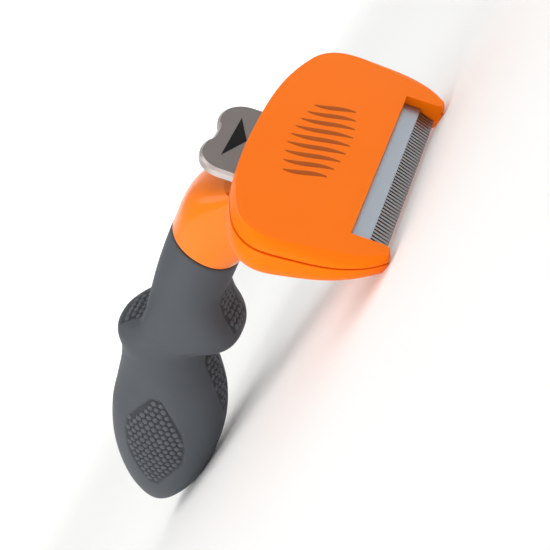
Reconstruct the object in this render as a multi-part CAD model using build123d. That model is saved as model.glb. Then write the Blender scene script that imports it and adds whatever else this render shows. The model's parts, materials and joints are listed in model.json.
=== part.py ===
from build123d import *
import os
from math import atan2, copysign, cos, degrees, hypot, pi, radians, sin

os.makedirs("parts", exist_ok=True)

# ---------------------------------------------------------------------------------------------
# Deshedding tool: a steel comb blade in a wide plastic head, with a sprung thumb slide that
# pushes shed hair off the teeth, on a rubber covered handle that leaves the head's back.
#
# Everything is drawn in the tool's working frame and laid on its rest plane at the end:
#   +X out of the flat front face (the front face is x = 0), +Y along the blade,
#   -Z the way the teeth point (z = 0 is the edge of the window that the blade comes out of).
# All sizes are in millimetres.
# ---------------------------------------------------------------------------------------------

# Head: half outlines as (y, z) from the middle of the back edge round to a horn tip.
face_outline = [(0, 34.7), (14, 34.3), (25, 32.8), (34.0, 30.3), (40.8, 26.9), (44.2, 21.6),
                (44.2, 13.5), (42.0, 2.5), (39.8, -5.4), (36.3, -10.4)]
bevel_outline = [(0, 35.0), (14, 34.6), (25.5, 33.1), (34.6, 30.4), (41.4, 26.6), (45.6, 21.2),
                 (46.2, 13.5), (45.2, 2.5), (42.2, -5.4), (36.6, -10.9)]
seam_outline = [(0, 35.2), (14, 34.8), (26, 33.4), (35.4, 30.8), (42.6, 27.0), (46.6, 21.4),
                (46.8, 13.5), (45.2, 2.5), (41.8, -5.4), (36.6, -11.3)]
belly_outline = [(0, 34.2), (14, 33.8), (26, 32.4), (35.2, 30.0), (42.3, 26.2), (46.0, 21.0),
                 (46.2, 13.3), (44.6, 2.5), (41.0, -5.4), (36.2, -10.9)]
rear_outline = [(0, 27.6), (12, 27.3), (22, 26.2), (31.0, 23.8), (36.4, 19.8), (39.0, 15.0),
                (39.5, 8.5), (38.8, 1.0), (37.2, -5.6), (35.2, -10.2)]
outline_top = 35.0                # height at which a section's back depth is measured
horn_tip = -12.0                  # height at which a section's tip depth is measured
bevel_depth = (1.4, 1.2)          # depths at the back and at the horn tips
seam_depth = (3.9, 2.5)
belly_depth = (12.5, 5.4)
rear_depth = (18.6, 7.4)
horn_slope = 12.0                 # the fronts of the horns fall away from the flat face
wall = 2.0
seam_chamfer = 0.2
seam_gap = 0.45                   # shadow gap cut round the joint of the covers
seam_gap_depth = 0.9

# Window and the blade in it.
window_half = 33.3
window_mouth_top = 2.2            # the blade and plate come out through walls this thick
blade_half = 33.1
blade_front = 3.5                 # depth of the blade's front
blade_thick = 2.2
blade_top = 7.0
blade_bevel_top = -4.8            # the toothed bevel starts here
tooth_tip = -9.6
tooth_tip_thick = 0.5
tooth_pitch = 1.35
tooth_gap = 0.6
tooth_root = -4.3                 # hidden behind the plate's lower edge
stiffener_thick = 1.5
stiffener_half = 31.0
stiffener_span = (0.6, 6.2)
blade_screw_places = [-24, -8, 8, 24]
blade_screw_height = 3.4

# Ejector slide.
travel = 7.5
plate_front = 2.5
plate_thick = 0.8
plate_half = 33.0
plate_span = (-4.9, 22.0)
carriage_span = (15.6, 24.0)
carriage_half = 28.0
carriage_rear = 6.5
rivet_places = [(-14, 19.4), (0, 19.4), (14, 19.4)]
rod_y = 21.0
rod_depth = 7.0
rod_radius = 1.0
rod_fit = 0.08
rod_span = (6.6, 31.5)
lug_radius = 2.7
lug_span = (23.0, 28.6)
post_half = 2.7
spring_radius = 1.85              # middle of the wire
spring_wire = 0.45
spring_turns = 6
spring_span = (9.6, 22.9)

# Thumb button.
button_half = 16.0
button_back = 46.9
button_notch = 1.6
button_lobe_y = 9.0
button_front = 31.4
button_face = 8.2
cap_thick = 2.4
cap_chamfer = 0.7
base_thick = 1.4
base_inset = 1.6

# Neck and handle sections: (x, top z, bottom z, half width in y, rise of the axis in degrees).
neck_sections = [(-9.0, 32.0, 7.0, 18.5, 0), (-21.0, 39.6, 13.2, 16.0, 18), (-33.0, 50.2, 22.8, 13.5, 24),
                 (-44.5, 52.8, 30.1, 12.0, 22)]
grip_sections = [(-44.5, 52.8, 30.1, 12.0, 22), (-61.0, 54.6, 32.0, 12.4, 0), (-68.0, 54.9, 29.6, 12.8, 0),
                 (-74.0, 54.8, 25.4, 13.4, 0), (-79.0, 57.2, 25.2, 14.0, 0), (-82.5, 61.4, 29.8, 14.2, 0),
                 (-86.5, 63.6, 33.6, 14.2, 0), (-93.0, 61.6, 31.8, 14.2, 0), (-100.0, 60.8, 28.4, 14.8, 0),
                 (-108.0, 61.0, 25.5, 15.8, 0), (-120.0, 61.3, 23.9, 16.6, 0), (-134.0, 59.0, 24.9, 15.7, 0),
                 (-147.0, 54.0, 28.0, 12.9, 0), (-156.0, 48.4, 32.2, 9.0, 0), (-160.5, 44.2, 35.6, 5.4, 0),
                 (-162.2, 41.4, 38.6, 1.8, 0)]
core_sections = [(-44.5, 50.6, 32.3, 9.6, 22), (-62.0, 51.6, 35.2, 9.8, 0), (-78.0, 52.4, 35.8, 10.4, 0),
                 (-96.0, 56.0, 35.4, 11.4, 0), (-120.0, 56.5, 29.0, 12.8, 0), (-138.0, 53.0, 31.0, 10.4, 0),
                 (-148.0, 50.0, 34.4, 8.2, 0)]
section_step = 3.0
section_points = 16
section_power = 0.92              # 1 is a true ellipse, and less is squarer
core_bore_radius = 5.2
core_bore_start = -60.0
core_axis_height = 43.0
plug_length = 6.0

# Fasteners.
cover_screw_places = [(-37.4, 21), (37.4, 21), (-38.6, -1), (38.6, -1)]
cover_screw_seat = 6.5
handle_screw_places = [(-10, 15), (10, 15), (-10, 26), (10, 26)]
handle_screw_head = 2.8
handle_screw_head_height = 1.3
handle_screw_sink = 0.8           # how far the heads sink into the rear wall


# ---------------------------------------------------------------------------------------------
# Shared shapes
# ---------------------------------------------------------------------------------------------

def box(x_range, y_range, z_range):
    """Box between two corners given as ranges, in any order."""
    (x0, x1), (y0, y1), (z0, z1) = (sorted(r) for r in (x_range, y_range, z_range))
    return Pos((x0 + x1) / 2, (y0 + y1) / 2, (z0 + z1) / 2) * Box(x1 - x0, y1 - y0, z1 - z0)


def rod(x_range, y, z, radius):
    """Cylinder along X."""
    x0, x1 = sorted(x_range)
    return Pos((x0 + x1) / 2, y, z) * Rot(0, 90, 0) * Cylinder(radius, x1 - x0)


def upright(x, y, z_range, radius):
    """Cylinder along Z."""
    z0, z1 = sorted(z_range)
    return Pos(x, y, (z0 + z1) / 2) * Cylinder(radius, z1 - z0)


def inset_outline(points, distance):
    """Half outline moved inwards, square to its local direction."""
    moved = []
    for place, (y, z) in enumerate(points):
        before, after = points[max(place - 1, 0)], points[min(place + 1, len(points) - 1)]
        along_y, along_z = after[0] - before[0], after[1] - before[1]
        length = hypot(along_y, along_z)
        moved.append((y + distance * along_z / length, z - distance * along_y / length))
    return [(0, points[0][1] - distance)] + moved[1:]


def head_section(half, depths):
    """Face bounded by a half outline and its mirror image, on a plane that is
    depths[0] behind the front face at the back edge and depths[1] at the horn tips."""
    back, tip = depths
    lean = atan2(back - tip, outline_top - horn_tip)
    origin_depth = tip - horn_tip * (back - tip) / (outline_top - horn_tip)
    plane = Plane(origin=(-origin_depth, 0, 0), x_dir=(0, 1, 0), z_dir=(cos(lean), 0, sin(lean)))
    points = [(-y, z) for y, z in reversed(half[1:])] + half
    edge = Spline(*points)
    return plane * make_face([edge, Line(points[-1], points[0])])


def handle_section(x, top, bottom, half_y, rise):
    """Slightly squared ellipse across the handle's axis, which rises backwards by a few degrees."""
    z, half_z = (top + bottom) / 2, (top - bottom) / 2
    plane = Plane(origin=(x, 0, z), x_dir=(0, 1, 0), z_dir=(-cos(radians(rise)), 0, sin(radians(rise))))
    ring = []
    for step in range(section_points):
        angle = 2 * pi * step / section_points
        across, along = cos(angle), sin(angle)
        ring.append((half_y * copysign(abs(across) ** section_power, across),
                     half_z * copysign(abs(along) ** section_power, along)))
    return plane * make_face([Spline(*ring, periodic=True)])


def smooth_sections(sections):
    """More sections between the given ones, on a smooth curve through every one of their sizes."""
    def slope(place, size):
        low, high = max(place - 1, 0), min(place + 1, len(sections) - 1)
        return (sections[high][size] - sections[low][size]) / (sections[high][0] - sections[low][0])

    finer = []
    for place, (first, second) in enumerate(zip(sections, sections[1:])):
        length = second[0] - first[0]
        steps = max(1, round(abs(length) / section_step))
        for step in range(steps):
            t = step / steps
            finer.append([first[0] + t * length] + [
                (1 + 2 * t) * (1 - t) ** 2 * first[size] + t * t * (3 - 2 * t) * second[size]
                + t * (1 - t) ** 2 * length * slope(place, size)
                - t * t * (1 - t) * length * slope(place + 1, size) for size in range(1, 5)])
    return finer + [sections[-1]]


def handle_loft(sections):
    return loft([handle_section(*section) for section in smooth_sections(sections)], ruled=True)


def screw(seat_depth, y, z, shank_radius, tip_depth, head_radius, head_height):
    """Screw driven forwards along +X, its head behind the seat."""
    shank = rod((-seat_depth, -tip_depth), y, z, shank_radius)
    head = rod((-seat_depth - head_height, -seat_depth), y, z, head_radius)
    return shank + head


def hex_socket(x_range, y, z, radius):
    x0, x1 = sorted(x_range)
    return Pos(x0, y, z) * Rot(0, 90, 0) * extrude(RegularPolygon(radius, 6), x1 - x0)


def button_outline(inset=0.0):
    """Two round lobes with a shallow notch between them, square ended at the front."""
    half = button_half - inset
    back = button_back - inset
    side = Line((half, button_front), (half, back - 8.0))
    lobe = Spline((half, back - 8.0), (half - 1.7, back - 2.8), (button_lobe_y, back),
                  (0.45 * button_lobe_y, back - 0.45 * button_notch), (0, back - button_notch),
                  tangents=[(0, 1), (-1, 0)])
    return [side, lobe]


def button_face_sketch(inset=0.0):
    half_edges = button_outline(inset)
    mirrored = [edge.mirror(Plane.YZ) for edge in half_edges]
    front = Line((-(button_half - inset), button_front), (button_half - inset, button_front))
    return make_face(half_edges + mirrored + [front])


def across_head(depth):
    """Plane square to X at a depth behind the front face, with its own x along +Y."""
    return Plane(origin=(-depth, 0, 0), x_dir=(0, 1, 0), z_dir=(1, 0, 0))


# ---------------------------------------------------------------------------------------------
# Head covers
# ---------------------------------------------------------------------------------------------

def window_notch():
    """Space between the horns, which opens out at their tips."""
    low = horn_tip - 2
    sketch = make_face(Polyline([(-window_half, 0), (window_half, 0), (window_half, -9.0),
                                 (window_half + 2.6, low), (-window_half - 2.6, low),
                                 (-window_half, -9.0)], close=True))
    return extrude(across_head(30) * sketch, 40)


def front_block():
    block = loft([head_section(face_outline, (0, 0)), head_section(bevel_outline, bevel_depth),
                  head_section(seam_outline, seam_depth)])
    seam_edges = block.faces().sort_by(Axis.X)[0].edges()
    block = chamfer(seam_edges, seam_chamfer)
    return block - Rot(0, -horn_slope, 0) * box((0, 20), (-60, 60), (-30, 0))


def rear_block():
    block = loft([head_section(seam_outline, seam_depth), head_section(belly_outline, belly_depth),
                  head_section(rear_outline, rear_depth)])
    seam_edges = block.faces().sort_by(Axis.X)[-1].edges()
    return chamfer(seam_edges, seam_chamfer)


def seam_groove():
    """Ring outside the rear cover's front edge, which leaves a shadow gap between the covers."""
    depths = (seam_depth, (seam_depth[0] + seam_gap, seam_depth[1] + seam_gap))
    outer = loft([head_section(inset_outline(seam_outline, -3.0), depth) for depth in depths])
    inner = loft([head_section(inset_outline(seam_outline, seam_gap_depth), depth) for depth in depths])
    return outer - inner


def button_slot():
    return box((-12.5, -7.8), (-16.6, 16.6), (24, 60))


def make_front_cover():
    cavity = loft([head_section(inset_outline(bevel_outline, wall), (wall, wall)),
                   head_section(inset_outline(seam_outline, wall), (seam_depth[0] + 1, seam_depth[1] + 1))])
    cavity = cavity & box((-30, 5), (-60, 60), (window_mouth_top, 60))
    cover = front_block() - cavity
    for y, z in cover_screw_places[:2]:
        cover += rod((-3.5, -wall + 0.5), y, z, 3.2)
    cover -= window_notch()
    cover -= box((-wall, -20), (-window_half, window_half), (-20, window_mouth_top + 1))
    for y, z in cover_screw_places:
        cover -= rod((-20, -2.4), y, z, 1.25)
    return cover


def make_rear_cover():
    inner_depth = (rear_depth[0] - wall, rear_depth[1] - wall)
    cavity = loft([head_section(inset_outline(seam_outline, wall), (seam_depth[0] - 1, seam_depth[1] - 1)),
                   head_section(inset_outline(belly_outline, wall), belly_depth),
                   head_section(inset_outline(rear_outline, 1.0), inner_depth)])
    cavity = cavity & box((-30, 5), (-60, 60), (window_mouth_top, 60))
    block = rear_block()
    cover = block - cavity - seam_groove()
    seat = box((-blade_front - blade_thick, -30), (-window_half, window_half), (-2.0, blade_top))
    cover += seat & block
    notch = window_notch() & box((-40, 10), (-60, 60), (-40, -2.0))
    cover -= notch
    cover -= box((5, -blade_front - blade_thick), (-window_half, window_half), (-20, window_mouth_top + 1))
    for y, z in cover_screw_places[:2]:
        cover += rod((-3.6, -13.5), y, z, 4.0) & block
    for side in (-1, 1):
        post_sides = (side * rod_y - post_half, side * rod_y + post_half)
        for post_span in ((blade_top, spring_span[0] - 0.1), (28.8, 32.4)):
            cover += box((-rod_depth + post_half, -30), post_sides, post_span) & block
        cover -= upright(-rod_depth, side * rod_y, rod_span, rod_radius)
    cover -= button_slot()
    stiffener_pocket = box((-blade_front - blade_thick, -blade_front - blade_thick - stiffener_thick),
                           (-stiffener_half, stiffener_half), stiffener_span)
    cover -= stiffener_pocket
    for y in blade_screw_places:
        cover -= rod((0, -9.0), y, blade_screw_height, 1.1)
    for y, z in cover_screw_places:
        cover -= rod((-cover_screw_seat, 0), y, z, 1.5)
        cover -= rod((-cover_screw_seat, -30), y, z, 2.8)
    for y, z in handle_screw_places:
        seat = handle_screw_seat(z)
        cover -= rod((-30, 0), y, z, 1.6)
        cover -= rod((-seat, 0), y, z, handle_screw_head + 0.15)
    return cover


# ---------------------------------------------------------------------------------------------
# Blade
# ---------------------------------------------------------------------------------------------

def make_blade():
    front, back = -blade_front, -blade_front - blade_thick
    profile = make_face(Polyline([(front, blade_top), (front, blade_bevel_top),
                                  (back + tooth_tip_thick, tooth_tip), (back, tooth_tip),
                                  (back, blade_top)], close=True))
    blade = extrude(Plane.XZ.offset(-blade_half) * profile, 2 * blade_half)
    teeth = int(2 * blade_half / tooth_pitch)
    gullet = box((front + 1, back - 1), (-tooth_gap / 2, tooth_gap / 2), (tooth_root, tooth_tip - 1))
    for place in range(teeth):
        blade -= Pos(0, (place - (teeth - 1) / 2) * tooth_pitch, 0) * gullet
    for y in blade_screw_places:
        blade -= rod((0, -20), y, blade_screw_height, 1.3)
        blade -= rod((0, -blade_front - 1.3), y, blade_screw_height, 2.5)
    return blade


def make_stiffener_bar():
    front = -blade_front - blade_thick
    bar = box((front, front - stiffener_thick), (-stiffener_half, stiffener_half), stiffener_span)
    for y in blade_screw_places:
        bar -= rod((0, -20), y, blade_screw_height, 1.3)
    return bar


def make_blade_screws():
    screws = []
    for y in blade_screw_places:
        head = rod((-blade_front - 0.1, -blade_front - 1.3), y, blade_screw_height, 2.3)
        shank = rod((-blade_front - 1.3, -8.8), y, blade_screw_height, 1.1)
        drive = hex_socket((-blade_front, -blade_front - 0.8), y, blade_screw_height, 0.9)
        screws.append(head + shank - drive)
    return Compound(screws)


# ---------------------------------------------------------------------------------------------
# Ejector slide
# ---------------------------------------------------------------------------------------------

def make_ejector_plate():
    plate = box((-plate_front, -plate_front - plate_thick), (-plate_half, plate_half), plate_span)
    for y, z in rivet_places:
        plate -= rod((0, -10), y, z, 1.0)
    return plate


def make_carriage():
    front = -plate_front - plate_thick
    carriage = box((front, -carriage_rear), (-carriage_half, carriage_half), carriage_span)
    carriage += box((front, -carriage_rear), (-6, 6), (carriage_span[1] - 1, 31.0))
    for side in (-1, 1):
        carriage += upright(-rod_depth, side * rod_y, lug_span, lug_radius)
        carriage += box((front, -carriage_rear), (side * rod_y - 3.2, side * rod_y + 3.2),
                        (carriage_span[1] - 1, lug_span[1]))
        carriage -= upright(-rod_depth, side * rod_y, (0, 40), rod_radius + rod_fit)
        spring_pocket = box((front - 0.8, -20), (side * rod_y - 3.4, side * rod_y + 3.4), (0, lug_span[0]))
        carriage -= spring_pocket
    for y, z in rivet_places:
        carriage -= rod((0, -10), y, z, 1.0)
    for y in (-3.5, 3.5):
        carriage -= rod((-20, -4.2), y, 26.5, 0.9)
    return carriage


def make_plate_rivets():
    rivets = []
    for y, z in rivet_places:
        shank = rod((-plate_front, -carriage_rear), y, z, 1.0)
        front_head = rod((-plate_front, -plate_front + 0.25), y, z, 1.9)
        rear_head = rod((-carriage_rear, -carriage_rear - 0.5), y, z, 1.8)
        rivets.append(shank + front_head + rear_head)
    return Compound(rivets)


def make_spring(side):
    low, high = spring_span[0] + spring_wire / 2, spring_span[1] - spring_wire / 2
    coil = Helix((high - low) / spring_turns, high - low, spring_radius)
    wire = sweep(Plane(origin=coil @ 0, z_dir=coil % 0) * Circle(spring_wire / 2), path=coil)
    return Pos(-rod_depth, side * rod_y, low) * wire


def make_button_cap():
    cap = extrude(across_head(button_face + cap_thick) * button_face_sketch(), cap_thick)
    rim = cap.faces().sort_by(Axis.X)[-1].edges()
    return chamfer(rim, cap_chamfer)


def make_button_base():
    front = button_face + cap_thick
    tongue = extrude(across_head(front + base_thick) * button_face_sketch(base_inset), base_thick)
    riser = box((-carriage_rear, -front - 0.4), (-6, 6), (27.6, button_front))
    foot = box((-carriage_rear, -10.2), (-6, 6), (23.6, 31.0))
    tail = box((-front, -front - base_thick), (-6, 6), (29.2, button_front + 1))
    base = tongue + riser + foot + tail
    for y in (-3.5, 3.5):
        base -= rod((0, -20), y, 26.5, 1.1)
        base -= rod((-8.8, -20), y, 26.5, 2.1)
    return base


def make_button_screws():
    screws = []
    for y in (-3.5, 3.5):
        body = screw(8.8, y, 26.5, 0.9, 4.4, 1.9, 1.2)
        screws.append(body - hex_socket((-10.4, -9.4), y, 26.5, 0.8))
    return Compound(screws)


# ---------------------------------------------------------------------------------------------
# Handle
# ---------------------------------------------------------------------------------------------

def handle_screw_seat(z):
    """Depth of the seat of a screw that holds the neck, sunk into the sloping rear wall."""
    slope = (rear_depth[0] - rear_depth[1]) / (outline_top - horn_tip)
    shallow_side = z - handle_screw_head - horn_tip
    return rear_depth[1] - wall + shallow_side * slope + handle_screw_sink


def make_handle_core():
    core = handle_loft(neck_sections) - rear_block() - button_slot()
    core += handle_loft(core_sections)
    core -= rod((core_bore_start, -170), 0, core_axis_height, core_bore_radius)
    for y, z in handle_screw_places:
        core -= rod((-8, -21.0), y, z, 1.5)
    return core


def make_end_plug():
    end = core_sections[-1][0]
    return rod((end, end + plug_length), 0, core_axis_height, core_bore_radius)


def make_grip_sleeve():
    return handle_loft(grip_sections) - handle_loft(core_sections)


def make_handle_screws():
    screws = []
    for y, z in handle_screw_places:
        seat = handle_screw_seat(z)
        head = rod((-seat, -seat + handle_screw_head_height), y, z, handle_screw_head)
        shank = rod((-seat, -20.6), y, z, 1.5)
        drive = hex_socket((-seat + 0.4, -seat + handle_screw_head_height), y, z, 1.3)
        screws.append(head + shank - drive)
    return Compound(screws)


def make_cover_screws():
    screws = []
    for y, z in cover_screw_places:
        body = screw(cover_screw_seat, y, z, 1.25, 2.6, 2.5, 1.5)
        screws.append(body - hex_socket((-cover_screw_seat - 1.6, -cover_screw_seat - 0.5), y, z, 1.1))
    return Compound(screws)


# ---------------------------------------------------------------------------------------------
# Assembly
# ---------------------------------------------------------------------------------------------

nodes = {
    "front_cover": make_front_cover(),
    "rear_cover": make_rear_cover(),
    "handle_core": make_handle_core(),
    "core_end_plug": make_end_plug(),
    "grip_sleeve": make_grip_sleeve(),
    "blade": make_blade(),
    "blade_stiffener_bar": make_stiffener_bar(),
    "blade_screws": make_blade_screws(),
    "ejector_plate": make_ejector_plate(),
    "ejector_carriage": make_carriage(),
    "plate_rivets": make_plate_rivets(),
    "button_cap": make_button_cap(),
    "button_base": make_button_base(),
    "button_screws": make_button_screws(),
    "guide_rod_left": upright(-rod_depth, -rod_y, rod_span, rod_radius),
    "guide_rod_right": upright(-rod_depth, rod_y, rod_span, rod_radius),
    "return_spring_left": make_spring(-1),
    "return_spring_right": make_spring(1),
    "cover_screws": make_cover_screws(),
    "handle_screws": make_handle_screws(),
}

# The tool rests teeth down on its two horn tips and the belly of the grip.
tip_contact = (-3.8, -11.3)
rest_lean = min(degrees(atan2(bottom - tip_contact[1], tip_contact[0] - x))
                for x, _, bottom, _, _ in smooth_sections(grip_sections))
leaned = {name: Rot(0, -rest_lean, 0) * shape for name, shape in nodes.items()}
bounds = Compound(list(leaned.values())).bounding_box()
shift = Pos(-(bounds.min.X + bounds.max.X) / 2, 0, -bounds.min.Z)
for name, shape in leaned.items():
    export_step(shift * shape, f"parts/{name}.step")
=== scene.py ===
import json
import math

import bpy
from mathutils import Matrix, Vector


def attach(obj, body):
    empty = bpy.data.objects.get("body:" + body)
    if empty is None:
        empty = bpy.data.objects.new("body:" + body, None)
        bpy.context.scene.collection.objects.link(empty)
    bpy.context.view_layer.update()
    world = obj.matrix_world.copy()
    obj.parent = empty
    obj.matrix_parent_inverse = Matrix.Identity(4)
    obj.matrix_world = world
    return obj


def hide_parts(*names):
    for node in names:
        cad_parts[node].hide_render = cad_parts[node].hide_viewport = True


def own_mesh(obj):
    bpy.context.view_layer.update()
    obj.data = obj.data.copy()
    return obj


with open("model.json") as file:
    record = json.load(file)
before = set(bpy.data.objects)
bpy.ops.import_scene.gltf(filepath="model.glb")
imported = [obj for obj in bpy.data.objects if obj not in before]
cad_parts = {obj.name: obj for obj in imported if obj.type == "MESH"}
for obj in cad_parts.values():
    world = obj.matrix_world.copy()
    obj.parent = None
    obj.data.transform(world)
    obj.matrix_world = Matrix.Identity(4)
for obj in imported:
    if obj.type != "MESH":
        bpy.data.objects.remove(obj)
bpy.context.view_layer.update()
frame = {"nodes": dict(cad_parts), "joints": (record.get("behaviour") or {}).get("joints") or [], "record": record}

bl_info = {
    "name": "Deshedding tool looks",
    "version": (1, 0, 0),
    "blender": (4, 5, 0),
    "location": "3D View > Sidebar > Deshedding Tool",
    "description": "Builds the looks of a deshedding tool round its CAD frame",
    "category": "Object",
}

MM = 0.001
MARK_HEIGHT = 15.0                # from the tool's origin up to the front_face mount, in millimetres

# --------------------------------------------------------------------
# The tool's own frame, in millimetres: +X out of the flat front face, +Y along the blade and
# +Z from the teeth towards the thumb button. It comes from the record's mount and slide joint.
# --------------------------------------------------------------------

face_mount = next(mount for mount in frame["record"]["mounts"] if mount["name"] == "front_face")
slide = next(joint for joint in frame["joints"] if joint["name"] == "ejector_slide")
front_axis = Vector(face_mount["axis"]).normalized()
up_axis = -Vector(slide["axis"]).normalized()
side_axis = up_axis.cross(front_axis).normalized()
tool_origin = Vector(face_mount["pos_m"]) - up_axis * MARK_HEIGHT * MM
tool_frame = Matrix.Translation(tool_origin) @ Matrix(
    (front_axis, side_axis, up_axis)).transposed().to_4x4() @ Matrix.Scale(MM, 4)


# --------------------------------------------------------------------
# Shape of the neck and grip
# --------------------------------------------------------------------

# Sections as (x, top z, bottom z, half width, rise of the axis in degrees, squareness above the
# middle, squareness below), where 1 is a true ellipse and less is squarer.
COLLAR = (-45.4, 52.8, 30.3, 12.0, 18, 0.92, 0.92)      # where the neck meets the rubber
NECK_SECTIONS = [(-9.0, 31.0, 7.0, 18.5, 0, 0.5, 0.92), (-20.0, 37.0, 12.8, 15.6, 16, 0.44, 0.92),
                 (-33.0, 49.8, 22.8, 13.3, 24, 0.74, 0.92), COLLAR]
GRIP_SECTIONS = [COLLAR, (-61.0, 54.6, 32.0, 12.4, 0, 0.88, 0.9),
                 (-68.0, 54.9, 29.6, 12.8, 0, 0.76, 0.8), (-74.0, 54.8, 25.4, 13.4, 0, 0.68, 0.76),
                 (-79.0, 56.6, 25.6, 14.0, 0, 0.68, 0.8), (-82.5, 60.9, 31.0, 14.2, 0, 0.76, 0.88),
                 (-86.5, 63.6, 34.2, 14.2, 0, 0.88, 0.94), (-93.0, 61.6, 32.0, 14.2, 0, 0.94, 0.94),
                 (-100.0, 60.8, 28.4, 14.8, 0, 0.94, 0.92), (-108.0, 61.0, 25.5, 15.8, 0, 0.94, 0.92),
                 (-120.0, 61.3, 23.9, 16.6, 0, 0.94, 0.92), (-134.0, 59.0, 24.9, 15.7, 0, 0.92, 0.92),
                 (-147.0, 54.0, 28.0, 12.9, 0, 0.92, 0.92), (-156.0, 48.4, 32.2, 9.0, 0, 0.95, 0.95),
                 (-160.5, 44.2, 35.6, 5.4, 0, 1, 1), (-162.2, 41.4, 38.6, 1.8, 0, 1, 1)]
# Hollows for the thumb and the first finger, and with a depth below 0 the ridges beside the
# thumb's, as (middle x, middle angle, reach along x, reach round in degrees, depth).
SCOOPS = [(-76.5, 90.0, 7.5, 44.0, 1.6), (-68.5, 270.0, 7.0, 46.0, 1.2),
          (-74.5, 124.0, 6.0, 34.0, -1.4), (-74.5, 56.0, 6.0, 34.0, -1.4)]
# Pebbled patches as rows of (x, from, to), where from and to are distances round the section from
# the patch's middle line, in the way that the angle grows. PATCHES gives each one's middle angle
# and whether it is drawn as it stands (1) or mirrored (-1).
SIDE_PATCH = [(-103.0, -2.2, 1.5), (-108.5, -6.2, 5.5), (-115.5, -10.5, 9.6), (-122.0, -10.7, 11.2),
              (-129.5, -8.7, 11.0), (-136.5, -4.2, 6.8), (-143.0, 0.3, 3.2)]
THUMB_PATCH = [(-75.0, -4.5, 4.5), (-79.0, -7.5, 7.5), (-85.0, -8.0, 8.0)]
FINGER_PATCH = [(-60.5, -4.0, 4.0), (-65.0, -6.5, 6.5), (-74.5, -6.5, 6.5)]
PALM_PATCH = [(-88.0, -3.0, 3.0), (-92.0, -5.0, 5.0), (-104.0, -4.5, 4.5), (-112.0, -2.0, 2.0)]
PATCHES = [(180.0, SIDE_PATCH, 1), (0.0, SIDE_PATCH, -1), (90.0, THUMB_PATCH, 1),
           (270.0, FINGER_PATCH, 1), (270.0, PALM_PATCH, 1)]
PATCH_REACH = 75.0                # no patch reaches further from its middle line, in degrees


def blended_sizes(sections, x):
    """Sizes of the section at x, on a cubic curve through the given sections."""
    def slope(place, size):
        low, high = max(place - 1, 0), min(place + 1, len(sections) - 1)
        return (sections[high][size] - sections[low][size]) / (sections[high][0] - sections[low][0])

    place = 0
    while place < len(sections) - 2 and x < sections[place + 1][0]:
        place += 1
    first, second = sections[place], sections[place + 1]
    length = second[0] - first[0]
    share = (x - first[0]) / length
    rest = 1 - share
    return [(1 + 2 * share) * rest ** 2 * first[size] + share * share * (3 - 2 * share) * second[size]
            + share * rest ** 2 * length * slope(place, size)
            - share * share * rest * length * slope(place + 1, size) for size in range(1, len(first))]


def section_point(sizes, x, angle, shrink=0.0):
    """Point of a section at an angle in degrees: 0 is the +Y side, 90 the thumb's, 270 the fingers'."""
    top, bottom, half_width, rise, square_top, square_bottom = sizes
    across, along = math.cos(math.radians(angle)), math.sin(math.radians(angle))
    power = square_top if along > 0 else square_bottom
    out = (half_width - shrink) * math.copysign(abs(across) ** power, across)
    up = ((top - bottom) / 2 - shrink) * math.copysign(abs(along) ** power, along)
    lean = math.radians(rise)
    return (x + up * math.sin(lean), out, (top + bottom) / 2 + up * math.cos(lean))


def scooped(x, angle):
    """Depth of the hollows, less the height of the ridges, at a place on the grip."""
    depth = 0.0
    for middle_x, middle_angle, along, round_way, deepest in SCOOPS:
        turn = abs((angle - middle_angle + 180) % 360 - 180) / round_way
        if turn < 1:
            depth += deepest * math.exp(-((x - middle_x) / along) ** 2) * (1 - turn * turn) ** 1.5
    return depth


def ring(sections, x, count, shrink=0.0):
    """Points round the section at x."""
    sizes = blended_sizes(sections, x)
    return [section_point(sizes, x, 360 * step / count, shrink) for step in range(count)]


def distance_round(sizes, x, middle_angle, angle):
    """Signed distance round the section from one angle to another, in chords of up to 3 degrees."""
    steps = max(2, int(abs(angle - middle_angle) / 3) + 1)
    walked, before = 0.0, section_point(sizes, x, middle_angle)
    for step in range(1, steps + 1):
        here = section_point(sizes, x, middle_angle + (angle - middle_angle) * step / steps)
        walked += math.dist(before, here)
        before = here
    return math.copysign(walked, angle - middle_angle)


def patch_limits(rows, x):
    """How far a patch reaches round the section at x, as (from, to), or None past its ends."""
    for (x0, from0, to0), (x1, from1, to1) in zip(rows, rows[1:]):
        if x1 <= x <= x0:
            share = (x - x0) / (x1 - x0)
            return from0 + share * (from1 - from0), to0 + share * (to1 - to0)
    return None


def depth_into_patch(sizes, x, angle):
    """How far inside a patch's edge a point of the grip is, in millimetres, and below 0 outside."""
    deepest = -1.0
    for middle, rows, hand in PATCHES:
        limits = patch_limits(rows, x)
        turn = (angle - middle + 180) % 360 - 180
        if limits is None or abs(turn) > PATCH_REACH:
            continue
        place = hand * distance_round(sizes, x, middle, middle + turn)
        ends = min(rows[0][0] - x, x - rows[-1][0])
        deepest = max(deepest, min(place - limits[0], limits[1] - place, ends))
    return deepest


# --------------------------------------------------------------------
# Small helpers
# --------------------------------------------------------------------

def linear(hex_colour):
    """Linear colour with alpha, from sRGB hex such as f87800."""
    channels = [int(hex_colour[place:place + 2], 16) / 255 for place in (0, 2, 4)]
    return [c / 12.92 if c <= 0.04045 else ((c + 0.055) / 1.055) ** 2.4 for c in channels] + [1.0]


def add_node(tree, kind, sockets=None, **choices):
    """Adds a node with its choices set, and fills its sockets with values or links."""
    node = tree.nodes.new(kind)
    for name, value in choices.items():
        setattr(node, name, value)
    for socket, value in (sockets or {}).items():
        if isinstance(value, bpy.types.NodeSocket):
            tree.links.new(value, node.inputs[socket])
        else:
            node.inputs[socket].default_value = value
    return node


def settings(context):
    """The sizes and colours that the user has chosen."""
    return context.scene.deshedding_tool


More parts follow.
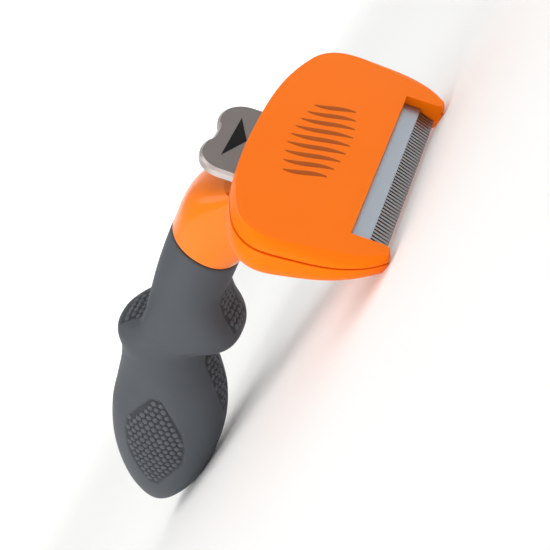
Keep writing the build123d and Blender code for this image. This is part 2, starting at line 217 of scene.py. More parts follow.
def mesh_piece(name, points, faces, material=None, sharp_angle=40.0):
    """Object at the origin whose mesh is in place, from points in the tool's frame."""
    mesh = bpy.data.meshes.new(name)
    mesh.from_pydata([tool_frame @ Vector(point) for point in points], [], faces)
    mesh.validate()
    mesh.polygons.foreach_set("use_smooth", [True] * len(mesh.polygons))
    mesh.set_sharp_from_angle(angle=math.radians(sharp_angle))
    piece = bpy.data.objects.new(name, mesh)
    bpy.context.scene.collection.objects.link(piece)
    if material:
        mesh.materials.append(material)
    return piece


def tube_faces(rings, count, closed_start=True):
    """Quads between rings of points that turn the same way, with a fan on the end and mostly the start.
    The middle points follow the rings: the start's where it is closed, then the end's."""
    faces = []
    for row in range(rings - 1):
        for step in range(count):
            after = (step + 1) % count
            faces.append((row * count + step, row * count + after,
                          (row + 1) * count + after, (row + 1) * count + step))
    extra = rings * count
    if closed_start:
        faces += [(extra, (step + 1) % count, step) for step in range(count)]
        extra += 1
    last = (rings - 1) * count
    faces += [(extra, last + step, last + (step + 1) % count) for step in range(count)]
    return faces


def middle_of(points):
    """Mean of some points."""
    return tuple(sum(point[axis] for point in points) / len(points) for axis in range(3))


def run_tree(tree, name, inputs, source=None):
    """Runs a geometry node tree once and returns its result as a plain mesh object at the origin.
    The tree starts from the source mesh, or from nothing."""
    host = bpy.data.objects.new(name + "_host", source or bpy.data.meshes.new(name + "_points"))
    bpy.context.scene.collection.objects.link(host)
    modifier = host.modifiers.new("nodes", "NODES")
    modifier.node_group = tree
    for socket in tree.interface.items_tree:
        if socket.item_type == "SOCKET" and socket.in_out == "INPUT" and socket.name in inputs:
            modifier[socket.identifier] = inputs[socket.name]
    depsgraph = bpy.context.evaluated_depsgraph_get()
    depsgraph.update()
    mesh = bpy.data.meshes.new_from_object(host.evaluated_get(depsgraph))
    mesh.name = name
    host.modifiers.remove(modifier)
    bpy.data.objects.remove(host)
    piece = bpy.data.objects.new(name, mesh)
    bpy.context.scene.collection.objects.link(piece)
    if not mesh.polygons:
        raise RuntimeError(f"the node tree made no faces for {name}")
    return piece


def new_tree(name, inputs):
    """Geometry node tree with an output and named inputs, each (name, socket type, default)."""
    tree = bpy.data.node_groups.new(name, "GeometryNodeTree")
    for label, kind, default in inputs:
        socket = tree.interface.new_socket(label, in_out="INPUT", socket_type=kind)
        if default is not None:
            socket.default_value = default
    tree.interface.new_socket("Geometry", in_out="OUTPUT", socket_type="NodeSocketGeometry")
    return tree, add_node(tree, "NodeGroupInput")


def end_tree(tree, given, geometry):
    """Ends a tree in real meshes with the material from its inputs."""
    real = add_node(tree, "GeometryNodeRealizeInstances", {"Geometry": geometry})
    finish = add_node(tree, "GeometryNodeSetMaterial", {"Geometry": real.outputs["Geometry"],
                                                        "Material": given.outputs["Material"]})
    add_node(tree, "NodeGroupOutput", {"Geometry": finish.outputs["Geometry"]})
    return tree


# --------------------------------------------------------------------
# Materials
# --------------------------------------------------------------------

GRAIN_DEPTH = 0.02                # of moulding grain, in millimetres
SCRATCH_DEPTH = 0.01              # of grinding and brushing lines
SCRATCH_STRENGTH = 0.12


def new_material(name, **sockets):
    """Material with a Principled shader whose uniform values are set on its own sockets."""
    material = bpy.data.materials.new(name)
    material.use_nodes = True
    tree = material.node_tree
    shader = next(node for node in tree.nodes if node.type == "BSDF_PRINCIPLED")
    for socket, value in sockets.items():
        shader.inputs[socket.replace("_", " ")].default_value = value
    return material, tree, shader


def rough_surface(tree, shader, vector, grain_mm, strength, depth):
    """Bumps of a given size and depth, on the coordinates in a socket."""
    noise = add_node(tree, "ShaderNodeTexNoise", {"Vector": vector, "Scale": 1 / (grain_mm * MM),
                                                  "Detail": 2.0})
    bump = add_node(tree, "ShaderNodeBump", {"Height": noise.outputs["Fac"], "Strength": strength,
                                             "Distance": depth * MM})
    tree.links.new(bump.outputs["Normal"], shader.inputs["Normal"])


def fine_grain(tree, shader, grain_mm, strength):
    """Even surface grain. Real moulding grain is finer than this, and is drawn coarser to show."""
    place = add_node(tree, "ShaderNodeTexCoord")
    rough_surface(tree, shader, place.outputs["Object"], grain_mm, strength, GRAIN_DEPTH)


def varied_colour(tree, shader, first, second, size_mm):
    """Base colour that wanders slightly between two colours over patches of a real size."""
    place = add_node(tree, "ShaderNodeTexCoord")
    noise = add_node(tree, "ShaderNodeTexNoise", {"Vector": place.outputs["Object"],
                                                  "Scale": 1 / (size_mm * MM), "Detail": 1.0})
    mix = add_node(tree, "ShaderNodeMix", {"Factor": noise.outputs["Fac"]}, data_type="RGBA")
    mix.inputs[6].default_value, mix.inputs[7].default_value = first, second
    tree.links.new(mix.outputs[2], shader.inputs["Base Color"])
    return mix


def make_cover_plastic(colour):
    """ABS, injection moulded in a finely sparked tool: even deep colour with a soft satin sheen."""
    material, tree, shader = new_material("satin_moulded_abs_orange", Roughness=0.45, IOR=1.53,
                                          Specular_IOR_Level=0.08)
    varied_colour(tree, shader, linear(colour), linear("f57400"), 30)
    fine_grain(tree, shader, 0.35, 0.12)
    return material


def make_neck_plastic(colour):
    """ABS from a polished tool: the same colour with clear highlights."""
    material, tree, shader = new_material("glossy_moulded_abs_orange", Roughness=0.2, IOR=1.53,
                                          Specular_IOR_Level=0.32)
    varied_colour(tree, shader, linear(colour), linear("ee7500"), 25)
    fine_grain(tree, shader, 1.2, 0.05)
    return material


def make_grip_rubber(colour):
    """TPE, moulded over the core in a matt tool: soft dark grey with hardly any highlight.
    The floor of the pebbled patches is painted darker, as painted shade in the gaps between the pebbles."""
    material, tree, shader = new_material("matt_moulded_tpe_grey", Roughness=0.6, IOR=1.5,
                                          Specular_IOR_Level=0.35)
    mix = varied_colour(tree, shader, linear(colour), linear("474b51"), 18)
    # The patch floors get a darker colour: painted shade for the gaps between the pebbles.
    floor = add_node(tree, "ShaderNodeAttribute", attribute_name="patch_floor_shade")
    darker = add_node(tree, "ShaderNodeMix", {"Factor": floor.outputs["Fac"]}, data_type="RGBA")
    tree.links.new(mix.outputs[2], darker.inputs[6])
    darker.inputs[7].default_value = linear("2a2c30")
    tree.links.new(darker.outputs[2], shader.inputs["Base Color"])
    fine_grain(tree, shader, 0.3, 0.25)
    return material


def make_pebble_rubber(colour):
    """The same TPE on the pebbles' tops, polished slightly by the hand."""
    material, tree, shader = new_material("rubbed_tpe_grey", Roughness=0.5, IOR=1.5,
                                          Specular_IOR_Level=0.35)
    shader.inputs["Base Color"].default_value = linear(colour)
    fine_grain(tree, shader, 0.3, 0.15)
    return material


def make_steel(name, colour, roughness, stretch=(1, 1, 1), grain_mm=0.3):
    """Metal with grinding or brushing lines, which run along the tool's axis that has a stretch.
    The real lines are finer, and are drawn coarser to show."""
    material, tree, shader = new_material(name, Metallic=1.0, Roughness=roughness)
    shader.inputs["Base Color"].default_value = linear(colour)
    place = add_node(tree, "ShaderNodeTexCoord")
    turned = add_node(tree, "ShaderNodeMapping", {"Vector": place.outputs["Object"],
                                                  "Rotation": tool_frame.to_euler(), "Scale": stretch},
                      vector_type="TEXTURE")
    rough_surface(tree, shader, turned.outputs["Vector"], grain_mm, SCRATCH_STRENGTH, SCRATCH_DEPTH)
    return material


def make_button_metal(colour, edge_highlight_colour):
    """Zinc alloy with a gunmetal finish: a dull face, and a bevel coloured brighter as a painted highlight."""
    material, tree, shader = new_material("gunmetal_zinc_alloy", Metallic=0.85, Roughness=0.38)
    surface = add_node(tree, "ShaderNodeNewGeometry")
    facing = add_node(tree, "ShaderNodeVectorMath", {0: surface.outputs["True Normal"], 1: front_axis},
                      operation="DOT_PRODUCT")
    # The face is what points within about 25 degrees of the front.
    face = add_node(tree, "ShaderNodeMath", {0: facing.outputs["Value"], 1: 0.9},
                    operation="GREATER_THAN")
    # Every surface that points away from the front, the bevel, takes the lighter colour: a painted highlight.
    mix = add_node(tree, "ShaderNodeMix", {"Factor": face.outputs["Value"]}, data_type="RGBA")
    mix.inputs[6].default_value, mix.inputs[7].default_value = linear(edge_highlight_colour), linear(colour)
    tree.links.new(mix.outputs[2], shader.inputs["Base Color"])
    fine_grain(tree, shader, 0.25, 0.1)
    return material


def make_plain(name, colour, roughness, gloss=0.5):
    """Plain finish in one colour with a fine grain."""
    material, tree, shader = new_material(name, Roughness=roughness, Specular_IOR_Level=gloss)
    shader.inputs["Base Color"].default_value = linear(colour)
    fine_grain(tree, shader, 0.4, 0.1)
    return material


def dress(node, material):
    """Gives a CAD node its finish."""
    piece = frame["nodes"][node]
    piece.data.materials.clear()
    piece.data.materials.append(material)
    return piece


# --------------------------------------------------------------------
# Settings
# --------------------------------------------------------------------

class DESHEDDING_PG_settings(bpy.types.PropertyGroup):
    """Sizes and colours that a user would change."""
    cover_colour: bpy.props.StringProperty(
        name="Cover colour", description="sRGB hex colour of the head's covers", default="f37000")
    neck_colour: bpy.props.StringProperty(
        name="Neck colour", description="sRGB hex colour of the neck", default="f47800")
    grip_colour: bpy.props.StringProperty(
        name="Grip colour", description="sRGB hex colour of the rubber", default="3f4348")
    pebble_colour: bpy.props.StringProperty(
        name="Pebble colour", description="sRGB hex colour of the rubbed pebbles", default="4a4e54")
    print_colour: bpy.props.StringProperty(
        name="Print colour", description="sRGB hex colour of the strokes on the front", default="a54c08")
    pebble_pitch: bpy.props.FloatProperty(
        name="Pebble pitch", description="Distance between pebbles, in millimetres", default=2.35,
        min=1.0)
    pebble_width: bpy.props.FloatProperty(
        name="Pebble width", description="Width of a pebble, in millimetres", default=2.15, min=0.5)
    pebble_height: bpy.props.FloatProperty(
        name="Pebble height", description="Height of a pebble over its floor, in millimetres",
        default=0.55)
    floor_depth: bpy.props.FloatProperty(
        name="Patch depth", description="Depth of a patch's floor, in millimetres", default=0.4, min=0.0)
    spring_turns: bpy.props.FloatProperty(
        name="Spring turns", description="Turns in each return spring", default=6.0, min=2.0)
    spring_wire: bpy.props.FloatProperty(
        name="Spring wire", description="Wire diameter, in millimetres", default=0.45, min=0.1)
    stroke_count: bpy.props.IntProperty(
        name="Print strokes", description="Strokes in the print on the front", default=9, min=1)
    view_azimuth: bpy.props.FloatProperty(
        name="View azimuth", description="Where the camera stands round the tool, from +X",
        default=math.radians(-48.24), subtype="ANGLE")
    view_elevation: bpy.props.FloatProperty(
        name="View elevation", description="How far above the horizon the camera stands",
        default=math.radians(5.12), subtype="ANGLE")
    view_roll: bpy.props.FloatProperty(
        name="View roll", description="How far the camera is turned about its own axis",
        default=math.radians(-59.6), subtype="ANGLE")
    view_distance: bpy.props.FloatProperty(
        name="View distance", description="From the camera to the point that it aims at",
        default=0.40906, unit="LENGTH")
    lens: bpy.props.FloatProperty(
        name="Lens", description="Focal length on a 36 mm sensor, in millimetres", default=91.64,
        unit="CAMERA")


# --------------------------------------------------------------------
# Pieces
# --------------------------------------------------------------------

class DESHEDDING_OT_covers(bpy.types.Operator):
    """Finishes the two moulded covers of the head and what is inside them"""
    bl_idname = "deshedding.covers"
    bl_label = "Finish the covers"

    def execute(self, context):
        plastic = make_cover_plastic(settings(context).cover_colour)
        for node in ("front_cover", "rear_cover"):
            dress(node, plastic)
        # Moulded acetal, which slides without oil: near black with a waxy sheen.
        dress("ejector_carriage", make_plain("moulded_acetal_black", "2e2f32", 0.45))
        # Glass-filled nylon: black and a little duller.
        dress("button_base", make_plain("moulded_nylon_black", "26272a", 0.5))
        # Moulded polypropylene: dull dark grey.
        dress("core_end_plug", make_plain("moulded_polypropylene_grey", "3a3c40", 0.55))
        return {"FINISHED"}


class DESHEDDING_OT_metal(bpy.types.Operator):
    """Finishes the blade, the ejector plate, the rods and the screws"""
    bl_idname = "deshedding.metal"
    bl_label = "Finish the metal parts"

    def execute(self, context):
        # Stainless blade steel, ground across its width: fine lines run towards the tips.
        blade_steel = make_steel("ground_blade_steel", "9c9ea0", 0.3, (1, 1, 14), 0.15)
        # Stainless sheet, brushed along its length: pale, even and satin.
        plate_steel = make_steel("brushed_stainless_sheet", "989fa8", 0.36, (1, 14, 1), 0.15)
        # Zinc-plated steel: light grey and slightly cloudy.
        zinc = make_steel("zinc_plated_steel", "9a9da1", 0.34)
        # Aluminium, upset cold: pale and duller than steel.
        aluminium = make_steel("cold_formed_aluminium", "a8abaf", 0.4)
        # Rod steel, drawn and polished: bright, with sharp lengthwise highlights.
        polished = make_steel("polished_rod_steel", "a6a9ad", 0.18, (1, 1, 10), 0.15)
        dress("blade", blade_steel)
        dress("ejector_plate", plate_steel)
        dress("blade_stiffener_bar", zinc)
        for node in ("blade_screws", "button_screws", "cover_screws", "handle_screws"):
            dress(node, zinc)
        dress("plate_rivets", aluminium)
        for node in ("guide_rod_left", "guide_rod_right"):
            dress(node, polished)
        return {"FINISHED"}


class DESHEDDING_OT_neck(bpy.types.Operator):
    """Builds the smooth neck that carries the handle, in place of the CAD core"""
    bl_idname = "deshedding.neck"
    bl_label = "Build the neck"

    around = 128                  # points round the neck
    rows = 90                     # rings from the head to the collar
    samples = 400                 # steps in which a line along the neck looks for the head's wall
    wall_low = (-7.4, -12.0)      # x and z of the rear cover's outer face at the horn tips
    wall_high = (-18.6, 35.0)     # and at the head's back edge
    sunk = 0.7                    # how far the neck's start lies inside that face
    collar_gap = 0.3              # how far the neck's end lies clear of the rubber
    # Rounded end and hidden core inside the rubber, as (distance back from the end, shrink).
    inner = [(0.35, 0.2), (0.5, 0.6), (0.5, 1.6), (1.0, 2.2), (6.0, 2.4), (16.0, 2.6), (30.0, 4.2)]

    def outside_head(self, point):
        """Whether a point is past the rear cover's face, or less than the sunk depth inside it."""
        (low_x, low_z), (high_x, high_z) = self.wall_low, self.wall_high
        wall_x = low_x + (point[2] - low_z) * (high_x - low_x) / (high_z - low_z)
        return point[0] < wall_x + self.sunk

    def line_along(self, start, end, angle):
        """Evenly spaced points along the neck at one angle, from the head's wall to the collar."""
        line = []
        for step in range(self.samples + 1):
            x = start + (end - start) * step / self.samples
            line.append(section_point(blended_sizes(NECK_SECTIONS, x), x, angle))
        first = next(place for place, point in enumerate(line) if self.outside_head(point))
        spacing = (self.samples - first) / (self.rows - 1)
        return [line[first + round(row * spacing)] for row in range(self.rows)]

    def execute(self, context):
        start, end = NECK_SECTIONS[0][0], NECK_SECTIONS[-1][0] + self.collar_gap
        columns = [self.line_along(start, end, 360 * step / self.around) for step in range(self.around)]
        rings = [[column[row] for column in columns] for row in range(self.rows)]
        rings += [ring(GRIP_SECTIONS, end - setback, self.around, shrink) for setback, shrink in self.inner]
        points = [point for section in rings for point in section]
        points += [middle_of(rings[0]), middle_of(rings[-1])]
        faces = tube_faces(len(rings), self.around)
        neck = mesh_piece("neck_moulding", points, faces, make_neck_plastic(settings(context).neck_colour))
        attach(neck, "root")
        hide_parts("handle_core")
        return {"FINISHED"}


class DESHEDDING_OT_grip(bpy.types.Operator):
    """Builds the rubber grip with its thumb rest, finger stop and sunk patches"""
    bl_idname = "deshedding.grip"
    bl_label = "Build the grip"

    around = 216                  # points round the grip
    row_length = 0.62             # between rings, less near the rounded end
    end_length = 8.0              # of the rounded end
    shortest_row = 0.25           # at the tip, as a share of the row length
    tip_gap = 0.15                # a ring closer to the tip than this becomes the last
    edge_slope = 0.7              # width of the slope at a patch's edge
    # The lip at the neck turns inwards over the core, as (distance back from the start, shrink).
    lip = [(6.0, 2.1), (1.4, 2.0), (0.85, 1.6), (0.7, 1.1), (0.75, 0.6), (1.05, 0.15)]
    lip_length = 1.4

    def row_places(self, start, end):
        """x of every ring past the lip."""
        rows = [start]
        while rows[-1] > end + self.tip_gap:
            nearness = min(1.0, (rows[-1] - end) / self.end_length)
            rows.append(rows[-1] - self.row_length * max(self.shortest_row, math.sqrt(nearness)))
        rows[-1] = end
        return [x for x in rows if x <= start - self.lip_length]

    def execute(self, context):
        chosen = settings(context)
        start, end = GRIP_SECTIONS[0][0], GRIP_SECTIONS[-1][0]
        angles = [360 * step / self.around for step in range(self.around)]
        rings = [ring(GRIP_SECTIONS, start - setback, self.around, shrink) for setback, shrink in self.lip]
        floor = [[0.0] * self.around for _ in self.lip]
        for x in self.row_places(start, end):
            sizes = blended_sizes(GRIP_SECTIONS, x)
            sunk = [min(1.0, max(0.0, depth_into_patch(sizes, x, angle) / self.edge_slope))
                    for angle in angles]
            rings.append([section_point(sizes, x, angle, chosen.floor_depth * depth + scooped(x, angle))
                          for angle, depth in zip(angles, sunk)])
            floor.append(sunk)
        points = [point for section in rings for point in section] + [middle_of(rings[-1])]
        faces = tube_faces(len(rings), self.around, closed_start=False)
        faces.append(tuple(reversed(range(self.around))))
        rubber = make_grip_rubber(chosen.grip_colour)
        grip = mesh_piece("rubber_grip", points, faces, rubber, sharp_angle=60)
        # How sunk each point lies in a patch, which darkens its colour there as painted shade.
        shade = grip.data.attributes.new("patch_floor_shade", "FLOAT", "POINT")
        shade.data.foreach_set("value", [depth for row in floor for depth in row] + [0.0])
        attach(grip, "root")
        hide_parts("grip_sleeve")
        return {"FINISHED"}


class DESHEDDING_OT_pebbles(bpy.types.Operator):
    """Sets rounded pebbles in rows on the floor of each patch of the grip"""
    bl_idname = "deshedding.pebbles"
    bl_label = "Set the grip's pebbles"

    angle_step = 0.5              # in degrees, in which a row looks for its next pebble
    walk_step = 0.1               # in millimetres along x, in which a patch looks for its next row
    edge_gap = 0.45               # from a pebble's middle to the patch's edge, as a share of the pitch

    def row_angles(self, patch, x, pitch, shift):
        """Angles of the pebbles that lie inside a patch on its row at x."""
        middle, rows, hand = patch
        sizes = blended_sizes(GRIP_SECTIONS, x)
        low, high = patch_limits(rows, x)
        ends = min(rows[0][0] - x, x - rows[-1][0])
        angle = middle - PATCH_REACH
        walked = distance_round(sizes, x, middle, angle)
        next_place = shift - round(-walked / pitch) * pitch
        before = section_point(sizes, x, angle)
        angles = []
        while angle < middle + PATCH_REACH:
            angle += self.angle_step
            here = section_point(sizes, x, angle)
            walked += math.dist(before, here)
            before = here
            if walked >= next_place:
                next_place += pitch
                if min(hand * walked - low, high - hand * walked, ends) > self.edge_gap * pitch:
                    angles.append(angle)
        return angles

    def pebble_places(self, pitch, depth):
        """Middle and outward direction of every pebble, in the tool's frame. Every second row of a
        patch is shifted by half a pitch."""
        places = []
        for patch in PATCHES:
            middle, rows, _ = patch
            x, line, shift = rows[0][0], 0.0, 0.0
            before = section_point(blended_sizes(GRIP_SECTIONS, x), x, middle)
            while x > rows[-1][0]:
                here = section_point(blended_sizes(GRIP_SECTIONS, x), x, middle)
                line += math.dist(before, here)
                before = here
                if line >= pitch * math.sqrt(3) / 2:
                    line, shift = 0.0, pitch / 2 - shift
                    places += [self.seated(x, angle, depth)
                               for angle in self.row_angles(patch, x, pitch, shift)]
                x -= self.walk_step
        return places

    @staticmethod
    def seated(x, angle, depth):
        """Point on the patch's floor and the grip's outward direction there."""
        def floor_point(x, angle):
            return Vector(section_point(blended_sizes(GRIP_SECTIONS, x), x, angle,
                                        depth + scooped(x, angle)))

        here = floor_point(x, angle)
        outward = (floor_point(x, angle + 1) - here).cross(floor_point(x - 0.2, angle) - here)
        return here, outward.normalized()

    @staticmethod
    def pebble_tree():
        """Domes on points, turned to face as each point says, and slightly uneven in size."""
        tree, given = new_tree("rows_of_pebbles", [
            ("Geometry", "NodeSocketGeometry", None), ("Pebble Width", "NodeSocketFloat", 0.002),
            ("Pebble Height", "NodeSocketFloat", 0.001), ("Largest", "NodeSocketFloat", 1.05),
            ("Smallest", "NodeSocketFloat", 0.85), ("Material", "NodeSocketMaterial", None)])
        # The seed is fixed, so that the pebbles are the same each time.
        spread = add_node(tree, "FunctionNodeRandomValue", {
            2: given.outputs["Smallest"], 3: given.outputs["Largest"], "Seed": 7}, data_type="FLOAT")
        dome = add_node(tree, "GeometryNodeMeshUVSphere", {"Segments": 9, "Rings": 6, "Radius": 0.5})
        smooth = add_node(tree, "GeometryNodeSetShadeSmooth", {"Geometry": dome.outputs["Mesh"]})
        size = add_node(tree, "ShaderNodeCombineXYZ", {
            "X": given.outputs["Pebble Width"], "Y": given.outputs["Pebble Width"],
            "Z": given.outputs["Pebble Height"]})
        uneven = add_node(tree, "ShaderNodeVectorMath", {
            0: size.outputs["Vector"], "Scale": spread.outputs[1]}, operation="SCALE")
        facing = add_node(tree, "GeometryNodeInputNamedAttribute", {"Name": "facing"},
                          data_type="FLOAT_VECTOR")
        turned = add_node(tree, "FunctionNodeAlignRotationToVector", {
            "Vector": facing.outputs["Attribute"]}, axis="Z")
        placed = add_node(tree, "GeometryNodeInstanceOnPoints", {
            "Points": given.outputs["Geometry"], "Instance": smooth.outputs["Geometry"],
            "Rotation": turned.outputs["Rotation"], "Scale": uneven.outputs["Vector"]})
        return end_tree(tree, given, placed.outputs["Instances"])

    def execute(self, context):
        chosen = settings(context)
        places = self.pebble_places(chosen.pebble_pitch, chosen.floor_depth)
        points = bpy.data.meshes.new("pebble_places")
        points.from_pydata([tool_frame @ point for point, _ in places], [], [])
        facing = points.attributes.new("facing", "FLOAT_VECTOR", "POINT")
        turn = tool_frame.to_3x3().normalized()
        facing.data.foreach_set("vector", [part for _, outward in places for part in turn @ outward])
        # The lower half of each dome is below the floor.
        pebbles = run_tree(self.pebble_tree(), "grip_pebbles", {
            "Pebble Width": chosen.pebble_width * MM, "Pebble Height": 2 * chosen.pebble_height * MM,
            "Material": make_pebble_rubber(chosen.pebble_colour)}, points)
        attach(pebbles, "root")
        return {"FINISHED"}


class DESHEDDING_OT_springs(bpy.types.Operator):
    """Winds the two return springs at their length at rest; in the tool they shorten as the slide moves"""
    bl_idname = "deshedding.springs"
    bl_label = "Wind the return springs"

    low, high = 9.6, 22.9         # the springs' ends at rest, along the tool's z
    axis_x, axis_y = -7.0, 21.0   # the rods that they are wound round
    coil_radius = 1.85            # to the middle of the wire
    end_gap = 0.02                # keeps each end just clear of what it presses on

    @staticmethod
    def spring_tree():
        """Round wire swept along a helix."""
        tree, given = new_tree("wound_spring", [
            ("Coil Radius", "NodeSocketFloat", 1.85), ("Wire Radius", "NodeSocketFloat", 0.2),
            ("Height", "NodeSocketFloat", 13.0), ("Turns", "NodeSocketFloat", 6.0),
            ("Material", "NodeSocketMaterial", None)])
        line = add_node(tree, "GeometryNodeCurveSpiral", {
            "Resolution": 28, "Rotations": given.outputs["Turns"], "Height": given.outputs["Height"],
            "Start Radius": given.outputs["Coil Radius"], "End Radius": given.outputs["Coil Radius"]})
        wire = add_node(tree, "GeometryNodeCurvePrimitiveCircle", {
            "Resolution": 10, "Radius": given.outputs["Wire Radius"]})
        coil = add_node(tree, "GeometryNodeCurveToMesh", {
            "Curve": line.outputs["Curve"], "Profile Curve": wire.outputs["Curve"], "Fill Caps": True})
        smooth = add_node(tree, "GeometryNodeSetShadeSmooth", {"Geometry": coil.outputs["Mesh"]})
        return end_tree(tree, given, smooth.outputs["Geometry"])

    def execute(self, context):
        chosen = settings(context)
        tree = self.spring_tree()
        # Spring steel wire, drawn and oiled: bright with soft highlights.
        wire_steel = make_steel("drawn_spring_wire", "9ea1a5", 0.28)
        length = self.high - self.low
        clear = chosen.spring_wire / 2 + self.end_gap
        for name, y in (("left", -self.axis_y), ("right", self.axis_y)):
            spring = run_tree(tree, f"spring_coil_{name}", {
                "Coil Radius": self.coil_radius, "Wire Radius": chosen.spring_wire / 2,
                "Height": length - 2 * clear, "Turns": chosen.spring_turns, "Material": wire_steel})
            spring.data.transform(tool_frame @ Matrix.Translation((self.axis_x, y, self.low + clear)))
            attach(spring, "root")
            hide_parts(f"return_spring_{name}")
            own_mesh(spring)
        return {"FINISHED"}


class DESHEDDING_OT_button(bpy.types.Operator):
    """Finishes the thumb button and prints the push arrow on it"""
    bl_idname = "deshedding.button"
    bl_label = "Finish the button"

    face_x = -8.2                 # of the cap's flat face
    print_span = (0.08, -0.05)    # the print's front and back, from that face
    arrow = [(-9.4, 40.9), (9.4, 40.9), (0.0, 36.5)]    # y and z of its corners

    def execute(self, context):
        # The second colour is the painted highlight on the bevel.
        dress("button_cap", make_button_metal("6f6967", "b8afab"))
        # Pad print in black enamel: flat, thin and almost matt.
        ink = make_plain("pad_print_black", "0c0c0d", 0.55, gloss=0.1)
        points = [(self.face_x + depth, y, z) for depth in self.print_span for y, z in self.arrow]
        faces = [(0, 2, 1), (3, 4, 5), (0, 1, 4, 3), (1, 2, 5, 4), (2, 0, 3, 5)]
        arrow = mesh_piece("push_arrow_print", points, faces, ink)
        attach(arrow, "ejector")
        return {"FINISHED"}


class DESHEDDING_OT_print(bpy.types.Operator):
    """Prints a row of combed hair strokes on the flat front"""
    bl_idname = "deshedding.print"
    bl_label = "Print the front"

    length, width, bend = 16.0, 1.9, 2.8     # of the longest stroke
    steps = 16                    # along a stroke
    front, back = 0.05, -0.01     # x of the print's two faces
    spacing = 4.0                 # between strokes, along the blade
    height = 17.0                 # of the row's middle over the tool's origin
    shortest = 0.55               # share of a stroke's length that all of them have

    @staticmethod
    def stroke_tree():
        """The stroke on points, sized as each point says."""
        tree, given = new_tree("combed_strokes", [
            ("Geometry", "NodeSocketGeometry", None), ("Stroke", "NodeSocketObject", None),
            ("Material", "NodeSocketMaterial", None)])
        stroke = add_node(tree, "GeometryNodeObjectInfo", {"Object": given.outputs["Stroke"]})
        size = add_node(tree, "GeometryNodeInputNamedAttribute", {"Name": "stroke_size"},
                        data_type="FLOAT_VECTOR")
        placed = add_node(tree, "GeometryNodeInstanceOnPoints", {
            "Points": given.outputs["Geometry"], "Instance": stroke.outputs["Geometry"],
            "Scale": size.outputs["Attribute"]})
        return end_tree(tree, given, placed.outputs["Instances"])

    def stroke_mesh(self):
        """Thin stroke with tapered ends and an S bend, in the tool's frame."""
        points = []
        for step in range(self.steps + 1):
            share = step / self.steps
            # The taper stops just short of a point, so that each end is a small flat face.
            half = 0.5 * self.width * math.sin(math.pi * (0.04 + 0.92 * share)) ** 0.8
            y = 0.5 * self.bend * math.sin(math.pi * (share - 0.5))
            z = self.length * (0.5 - share)
            points += [(self.front, y - half, z), (self.front, y + half, z),
                       (self.back, y + half, z), (self.back, y - half, z)]
        faces = []
        for low in range(0, 4 * self.steps, 4):
            for side, after in ((0, 1), (1, 2), (2, 3), (3, 0)):
                faces.append((low + 4 + side, low + 4 + after, low + after, low + side))
        faces += [(0, 1, 2, 3), tuple(4 * self.steps + side for side in (3, 2, 1, 0))]
        mesh = bpy.data.meshes.new("stroke")
        mesh.from_pydata(points, [], faces)
        return mesh

    def execute(self, context):
        chosen = settings(context)
        # Pad print in a darker orange ink: flat, on the satin plastic.
        ink = make_plain("pad_print_brown_orange", chosen.print_colour, 0.45, gloss=0.1)
        stroke = bpy.data.objects.new("stroke", self.stroke_mesh())
        bpy.context.scene.collection.objects.link(stroke)
        middle = (chosen.stroke_count - 1) / 2
        offsets = [place - middle for place in range(chosen.stroke_count)]
        places = bpy.data.meshes.new("stroke_places")
        places.from_pydata([(0, self.spacing * offset, self.height) for offset in offsets], [], [])
        sizes = places.attributes.new("stroke_size", "FLOAT_VECTOR", "POINT")
        for point, offset in zip(sizes.data, offsets):
            taper = math.cos(1.2 * offset / max(middle, 1))
            point.vector = (1, 1, self.shortest + (1 - self.shortest) * taper)
        strokes = run_tree(self.stroke_tree(), "front_print_strokes",
                           {"Stroke": stroke, "Material": ink}, places)
        bpy.data.objects.remove(stroke)
        strokes.data.transform(tool_frame)
        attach(strokes, "root")
        return {"FINISHED"}


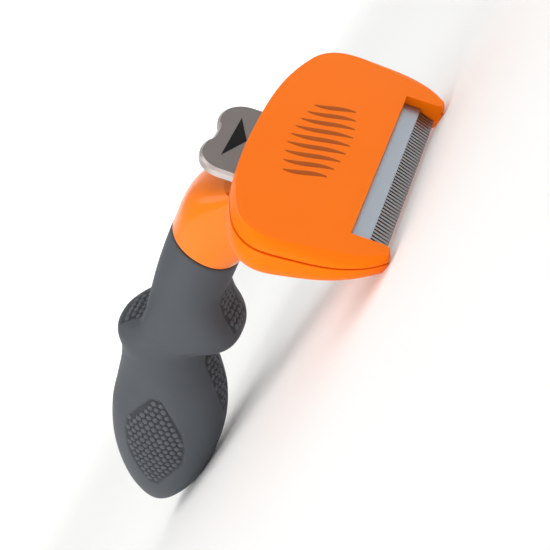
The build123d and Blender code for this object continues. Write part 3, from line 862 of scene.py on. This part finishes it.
class DESHEDDING_OT_stage(bpy.types.Operator):
    """Sets the pale floor, the soft lights and the camera"""
    bl_idname = "deshedding.stage"
    bl_label = "Set the stage"

    # Round softboxes as (name, place, point aimed at, width in metres, power in watts).
    lights = [("overhead_softbox", (0.1, -0.25, 1.3), (0, 0, 0.03), 1.1, 5),
              ("front_softbox", (1.1, -0.5, 0.5), (0, 0, 0.03), 0.9, 0.6),
              ("side_softbox", (-0.2, -1.2, 0.35), (0, 0, 0.03), 0.9, 7.5)]
    aim = (-51.2, 0.0, 19.8)      # what the camera aims at, in the tool's frame
    floor_radius = 1.6            # of the flat floor, in metres
    bend_radius = 0.5             # of its rim, which curves up
    wall_top = 1.6
    around = 96                   # points round the floor

    @staticmethod
    def soft_light(name, place, aim, size, power):
        """One round area light."""
        light = bpy.data.lights.new(name, "AREA")
        light.shape = "DISK"
        light.size = size
        light.energy = power
        lamp = bpy.data.objects.new(name, light)
        bpy.context.scene.collection.objects.link(lamp)
        lamp.location = place
        lamp.rotation_euler = (Vector(aim) - Vector(place)).to_track_quat("-Z", "Y").to_euler()

    @staticmethod
    def paper():
        """Matt white background paper with painted light: it glows more the further it lies from the middle, most
        where it rises into the wall.
        """
        material, tree, shader = new_material("matt_white_paper", Roughness=0.9, Specular_IOR_Level=0.1)
        shader.inputs["Base Color"].default_value = linear("f4f4f3")
        shader.inputs["Emission Color"].default_value = linear("ffffff")
        place = add_node(tree, "ShaderNodeTexCoord")
        flat = add_node(tree, "ShaderNodeVectorMath", {0: place.outputs["Object"], 1: (1, 1, 0)},
                        operation="MULTIPLY")
        distance = add_node(tree, "ShaderNodeVectorMath", {0: flat.outputs["Vector"]}, operation="LENGTH")
        # Painted light: the emission grows from the middle of the floor out to the wall.
        glow = add_node(tree, "ShaderNodeMapRange", {
            "Value": distance.outputs["Value"], "From Min": 0.3, "From Max": 1.5,
            "To Min": 0.0, "To Max": 0.36}, interpolation_type="SMOOTHSTEP")
        tree.links.new(glow.outputs["Result"], shader.inputs["Emission Strength"])
        return material

    def bowl(self):
        """Round floor whose rim curves up into a pale wall, so that no horizon shows."""
        profile = [(self.floor_radius, 0.0)]
        for turn in map(math.radians, range(10, 91, 10)):
            profile.append((self.floor_radius + self.bend_radius * math.sin(turn),
                            self.bend_radius - self.bend_radius * math.cos(turn)))
        profile.append((self.floor_radius + self.bend_radius, self.wall_top))
        points = [(0.0, 0.0, 0.0)]
        for radius, height in profile:
            for turn in (math.tau * step / self.around for step in range(self.around)):
                points.append((radius * math.cos(turn), radius * math.sin(turn), height))
        faces = []
        for step in range(self.around):
            after = (step + 1) % self.around
            faces.append((0, 1 + step, 1 + after))
            for row in range(1, 1 + (len(profile) - 1) * self.around, self.around):
                faces.append((row + step, row + self.around + step, row + self.around + after, row + after))
        mesh = bpy.data.meshes.new("studio_floor")
        mesh.from_pydata(points, [], faces)
        mesh.polygons.foreach_set("use_smooth", [True] * len(mesh.polygons))
        mesh.materials.append(self.paper())
        floor = bpy.data.objects.new("studio_floor", mesh)
        bpy.context.scene.collection.objects.link(floor)

    def camera(self, chosen):
        """Camera that looks at the tool from the chosen side, rolled about its own axis."""
        back = Matrix.Rotation(chosen.view_azimuth, 3, "Z") @ Vector(
            (math.cos(chosen.view_elevation), 0, math.sin(chosen.view_elevation)))
        level = Vector((0, 0, 1)).cross(back).normalized()
        turn = Matrix.Rotation(chosen.view_roll, 3, back)
        right = turn @ level
        camera = bpy.data.objects.new("camera", bpy.data.cameras.new("camera"))
        camera.data.lens = chosen.lens
        camera.data.sensor_width = 36.0
        camera.data.clip_start = 0.02
        camera.data.clip_end = 20.0
        place = tool_frame @ Vector(self.aim) + back * chosen.view_distance
        camera.matrix_world = Matrix.Translation(place) @ Matrix(
            (right, back.cross(right), back)).transposed().to_4x4()
        return camera

    def execute(self, context):
        scene = context.scene
        self.bowl()
        for light in self.lights:
            self.soft_light(*light)
        scene.camera = self.camera(settings(context))
        scene.collection.objects.link(scene.camera)
        scene.world = bpy.data.worlds.new("studio_air")
        scene.world.use_nodes = True
        air = next(node for node in scene.world.node_tree.nodes if node.type == "BACKGROUND")
        air.inputs["Color"].default_value = linear("f6f6f6")
        air.inputs["Strength"].default_value = 0.5
        scene.view_settings.view_transform = "Standard"
        return {"FINISHED"}


# --------------------------------------------------------------------
# Panel and registration
# --------------------------------------------------------------------

OPERATORS = [DESHEDDING_OT_covers, DESHEDDING_OT_metal, DESHEDDING_OT_neck, DESHEDDING_OT_grip,
             DESHEDDING_OT_pebbles, DESHEDDING_OT_springs, DESHEDDING_OT_button, DESHEDDING_OT_print,
             DESHEDDING_OT_stage]


class DESHEDDING_PT_panel(bpy.types.Panel):
    """Lists the tool's settings and pieces"""
    bl_label = "Deshedding Tool"
    bl_idname = "DESHEDDING_PT_panel"
    bl_space_type = "VIEW_3D"
    bl_region_type = "UI"
    bl_category = "Deshedding Tool"

    def draw(self, context):
        chosen = settings(context)
        for name in DESHEDDING_PG_settings.__annotations__:
            self.layout.prop(chosen, name)
        for operator in OPERATORS:
            self.layout.operator(operator.bl_idname)


CLASSES = [DESHEDDING_PG_settings] + OPERATORS + [DESHEDDING_PT_panel]


def register():
    """Registers the classes and hangs the settings on the scene."""
    for cls in CLASSES:
        bpy.utils.register_class(cls)
    bpy.types.Scene.deshedding_tool = bpy.props.PointerProperty(type=DESHEDDING_PG_settings)


def unregister():
    """Takes the settings and the classes away."""
    del bpy.types.Scene.deshedding_tool
    for cls in reversed(CLASSES):
        bpy.utils.unregister_class(cls)


def main():
    register()
    for operator in OPERATORS:
        group, name = operator.bl_idname.split(".")
        getattr(getattr(bpy.ops, group), name)()


if __name__ == "__main__":
    main()
